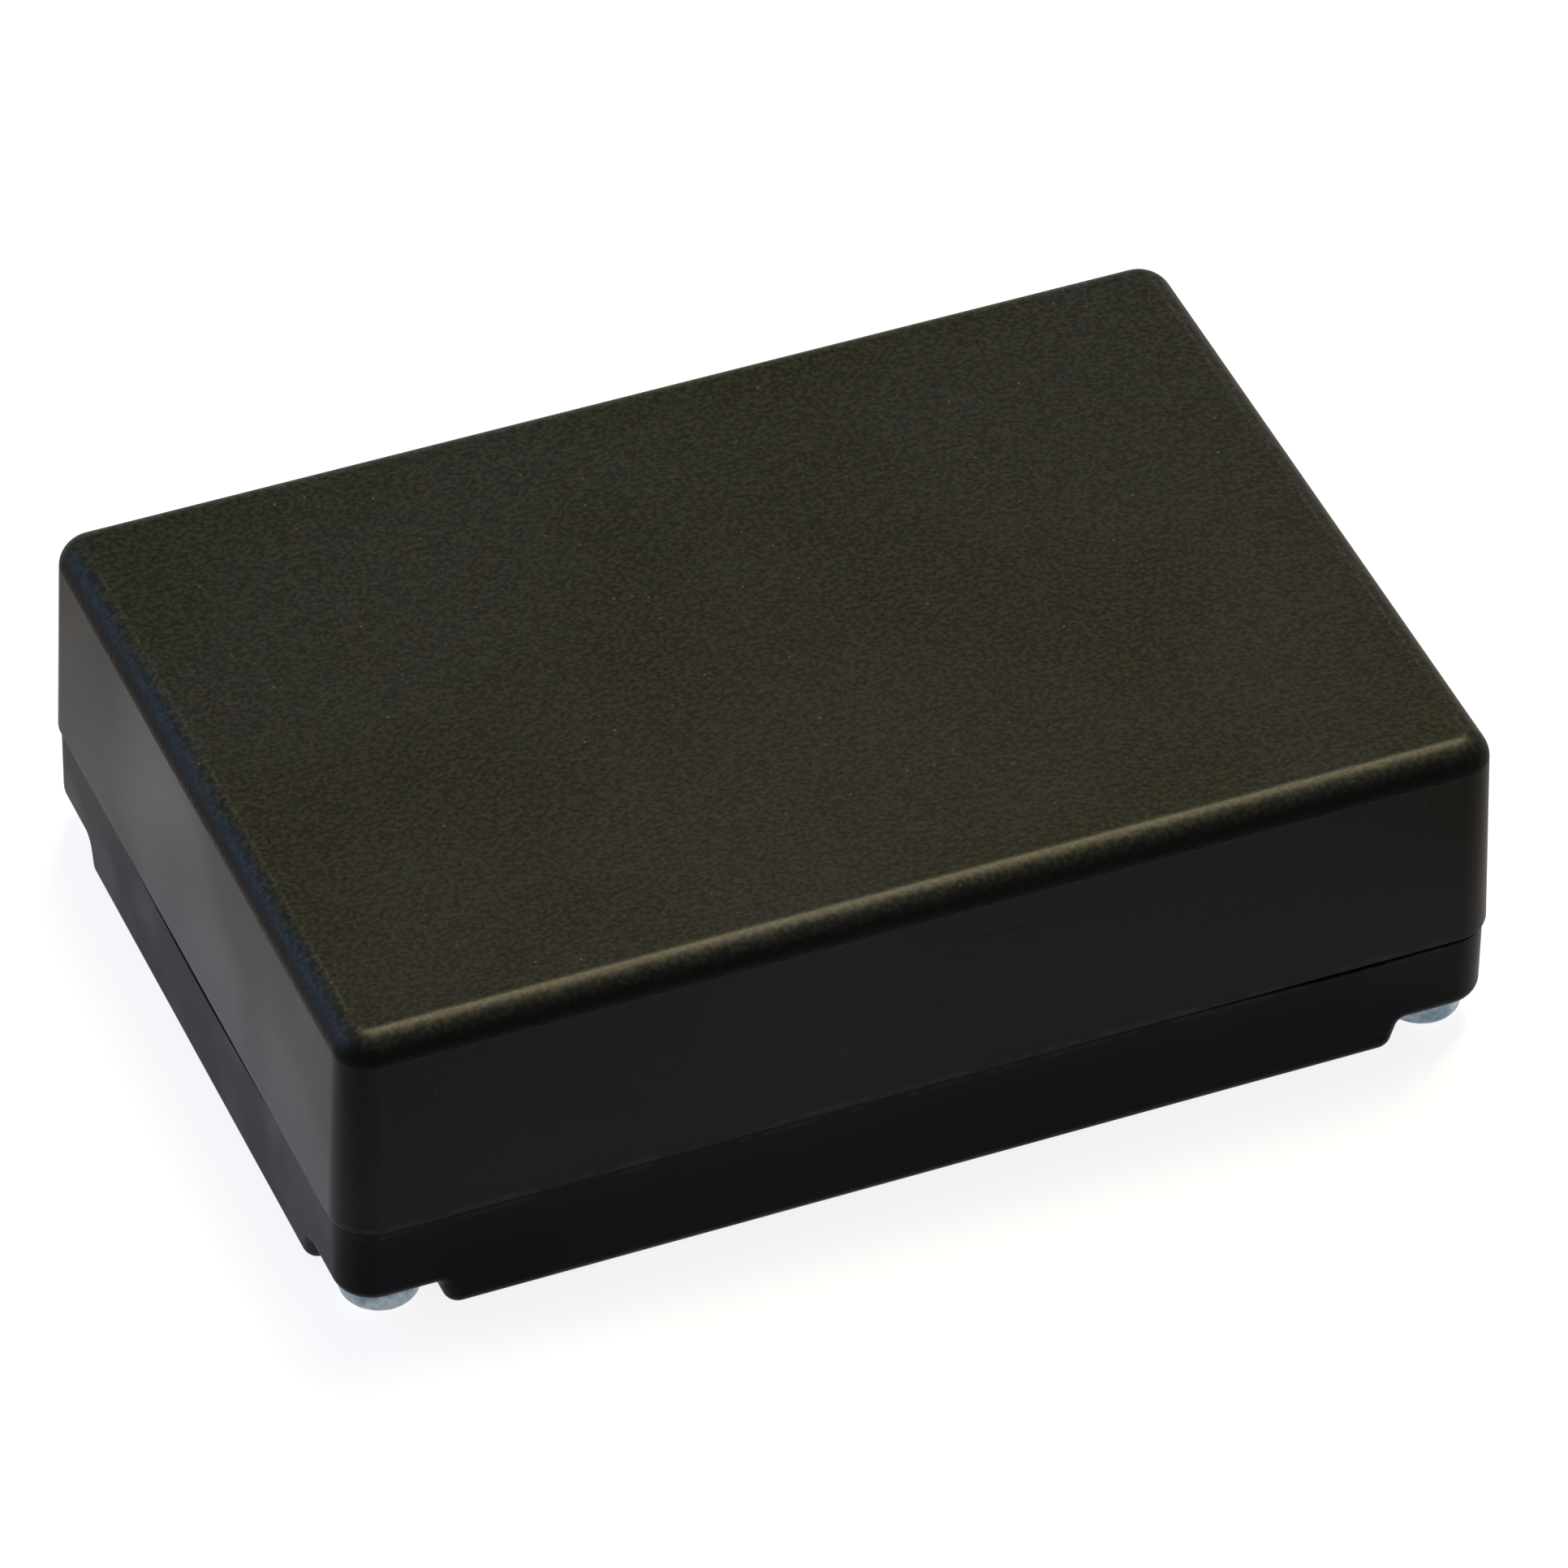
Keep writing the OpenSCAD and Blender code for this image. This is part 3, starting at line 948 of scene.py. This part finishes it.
def screw_thread(s, tip):
    """One ridge that winds up the shank."""
    bm = bmesh.new()
    half = THREAD_FOOT * s.pitch
    root = s.core / 2 - THREAD_SINK
    low = s.seat + THREAD_START * s.pitch
    turns = math.floor((tip - s.point - low) / s.pitch)
    corners = [
        bm.verts.new((root, 0, low - half)),
        bm.verts.new((s.crest / 2, 0, low - THREAD_CREST)),
        bm.verts.new((s.crest / 2, 0, low + THREAD_CREST)),
        bm.verts.new((root, 0, low + half)),
    ]
    face = bm.faces.new(corners)
    bmesh.ops.spin(
        bm, geom=[*corners, *face.edges, face], cent=(0, 0, 0), axis=(0, 0, 1),
        dvec=(0, 0, s.pitch / THREAD_SEGMENTS), angle=math.tau * turns,
        steps=THREAD_SEGMENTS * turns, use_duplicate=False)
    return bm


def cross_blade(s, low, turn):
    """One tapered blade of the driving cross."""
    bm = bmesh.new()
    made = add_block(
        bm, (-s.cross_length / 2, -s.cross_width / 2, low - BLADE_OUT),
        (s.cross_length / 2, s.cross_width / 2, low + s.cross_depth))
    deep = [vert for vert in made if vert.co.z > low]
    bmesh.ops.scale(bm, vec=BLADE_TAPER, verts=deep)
    bmesh.ops.rotate(
        bm, cent=(0, 0, 0), matrix=Matrix.Rotation(math.radians(turn), 3, "Z"), verts=made)
    return bm


# ---------------------------------------------------------------- stage

# Glow of the floor, and its tints for the camera and in reflections
FLOOR_GLOW = 0.87
SEEN_TINT = (0.995, 0.99, 1.0)
MIRRORED_TINT = (0.95, 0.94, 1.06)
# The mirrored glow fades to this share between these multiples of the near reach
FAR_GLOW = 0.25
GLOW_FULL = 0.8
GLOW_FADED = 1.3
# Lamps: place in metres, two sides in metres and tint
TOP_LAMP = ((0.22, 0.25, 0.75), (0.36, 0.36), (1.0, 0.83, 0.5))
RIM_LAMP = ((-0.76, 0.46, 0.4), (0.75, 0.68), (0.32, 0.58, 1.0))
LAMP_TARGET = (0, 0, 10 * MM)
CAMERA_TARGET = (0, 0, 11 * MM)
# How far the floor lies below the foot, so that the two don't share a plane
FLOOR_DROP = 0.02 * MM
FRAME_WIDTH = 36


def floor_material(s):
    """Plain pale floor that keeps the box's shadow and is white around it."""
    material = bpy.data.materials.new("Plain floor")
    material.use_nodes = True
    tree = material.node_tree
    tree.nodes.clear()
    nodes = Nodes(tree)
    output = nodes.add("ShaderNodeOutputMaterial")
    plain = nodes.add("ShaderNodeBsdfDiffuse", {"Color": s.floor_colour[:]})
    path = nodes.add("ShaderNodeLightPath")
    mirrored = nodes.maths("ADD", path.outputs["Is Glossy Ray"], path.outputs["Is Transmission Ray"])
    place = nodes.scaled(nodes.add("ShaderNodeTexCoord").outputs["Object"], 1 / s.near_reach)
    away = nodes.add("ShaderNodeVectorMath", {0: place}, operation="LENGTH").outputs["Value"]
    near = nodes.band(away, GLOW_FADED, GLOW_FULL, FAR_GLOW, 1.0)
    mirrored = nodes.maths("MULTIPLY", mirrored, near)
    seen = nodes.maths("ADD", path.outputs["Is Camera Ray"], mirrored, clamp=True)
    tint = nodes.blend(path.outputs["Is Camera Ray"], MIRRORED_TINT, SEEN_TINT)
    strength = nodes.maths("MULTIPLY", seen, FLOOR_GLOW)
    glow = nodes.add("ShaderNodeEmission", {"Color": tint, "Strength": strength})
    both = nodes.add("ShaderNodeAddShader", {0: plain.outputs[0], 1: glow.outputs[0]})
    tree.links.new(both.outputs[0], output.inputs["Surface"])
    return material


def white_world(s):
    """Plain white world that lights the box evenly."""
    world = bpy.data.worlds.new("Studio")
    world.use_nodes = True
    tree = world.node_tree
    tree.nodes.clear()
    nodes = Nodes(tree)
    output = nodes.add("ShaderNodeOutputWorld")
    light = nodes.add("ShaderNodeBackground", {"Color": (1, 1, 1), "Strength": s.sky_share})
    tree.links.new(light.outputs[0], output.inputs["Surface"])
    bpy.context.scene.world = world


def add_lamp(name, place, size, tint, power):
    """A soft lamp that faces the box."""
    lamp = bpy.data.lights.new(name, "AREA")
    lamp.shape = "RECTANGLE"
    lamp.size, lamp.size_y = size
    lamp.energy = power
    lamp.color = tint
    holder = bpy.data.objects.new(name, lamp)
    holder.location = place
    aim = Vector(LAMP_TARGET) - Vector(place)
    holder.rotation_euler = aim.to_track_quat("-Z", "Y").to_euler()
    bpy.context.scene.collection.objects.link(holder)


class BOX_OT_stage(bpy.types.Operator):
    """Makes the floor, the lights and the camera"""

    bl_idname = "project_box.make_stage"
    bl_label = "Make Stage"

    def execute(self, context):
        s = context.scene.box_stage
        bm = bmesh.new()
        bmesh.ops.create_grid(
            bm, x_segments=1, y_segments=1, size=s.floor_size / 2,
            matrix=Matrix.Translation((0, 0, -FLOOR_DROP)))
        floor = as_object("floor", bm)
        floor.data.materials.append(floor_material(s))
        white_world(s)
        add_lamp("top_lamp", *TOP_LAMP, s.top_share)
        add_lamp("rim_lamp", *RIM_LAMP, s.rim_share)
        back = Vector((
            -math.sin(s.azimuth) * math.cos(s.elevation),
            -math.cos(s.azimuth) * math.cos(s.elevation),
            math.sin(s.elevation)))
        level = (-back).cross(Vector((0, 0, 1))).normalized()
        upright = level.cross(-back)
        right = level * math.cos(s.tilt) + upright * math.sin(s.tilt)
        up = upright * math.cos(s.tilt) - level * math.sin(s.tilt)
        middle = Vector(CAMERA_TARGET)
        place = middle + back * s.distance + right * s.slide_right - up * s.slide_down
        data = bpy.data.cameras.new("camera")
        data.lens = s.focal
        data.sensor_width = FRAME_WIDTH
        data.clip_start = 0.01
        data.clip_end = 20
        camera = bpy.data.objects.new("camera", data)
        bpy.context.scene.collection.objects.link(camera)
        turned = Matrix((right, up, back)).transposed().to_4x4()
        camera.matrix_world = Matrix.Translation(place) @ turned
        bpy.context.scene.camera = camera
        bpy.context.scene.view_settings.view_transform = "Standard"
        return {"FINISHED"}


# ---------------------------------------------------------------- panel

class BOX_PT_panel(bpy.types.Panel):
    """Lists the sizes and colours of the box, with a button for each piece"""

    bl_idname = "BOX_PT_panel"
    bl_label = "Project Box"
    bl_space_type = "VIEW_3D"
    bl_region_type = "UI"
    bl_category = "Project Box"

    def draw(self, context):
        scene = context.scene
        for settings, operator in (
            (scene.box_case, BOX_OT_case.bl_idname),
            (scene.box_cover, BOX_OT_cover.bl_idname),
            (scene.box_screws, BOX_OT_screws.bl_idname),
            (scene.box_stage, BOX_OT_stage.bl_idname),
        ):
            part = self.layout.box()
            for key in settings.__annotations__:
                part.prop(settings, key)
            part.operator(operator)


SETTINGS = {
    "box_case": CaseSettings,
    "box_cover": CoverSettings,
    "box_screws": ScrewSettings,
    "box_stage": StageSettings,
}
CLASSES = (
    *SETTINGS.values(), BOX_OT_case, BOX_OT_cover, BOX_OT_screws, BOX_OT_stage, BOX_PT_panel,
)


def register():
    for cls in CLASSES:
        bpy.utils.register_class(cls)
    for name, cls in SETTINGS.items():
        setattr(bpy.types.Scene, name, bpy.props.PointerProperty(type=cls))


def unregister():
    for name in SETTINGS:
        delattr(bpy.types.Scene, name)
    for cls in reversed(CLASSES):
        bpy.utils.unregister_class(cls)


def main():
    """Builds the whole scene."""
    register()
    bpy.ops.project_box.make_stage()
    bpy.ops.project_box.make_case()
    bpy.ops.project_box.make_cover()
    bpy.ops.project_box.make_screws()


if __name__ == "__main__":
    main()
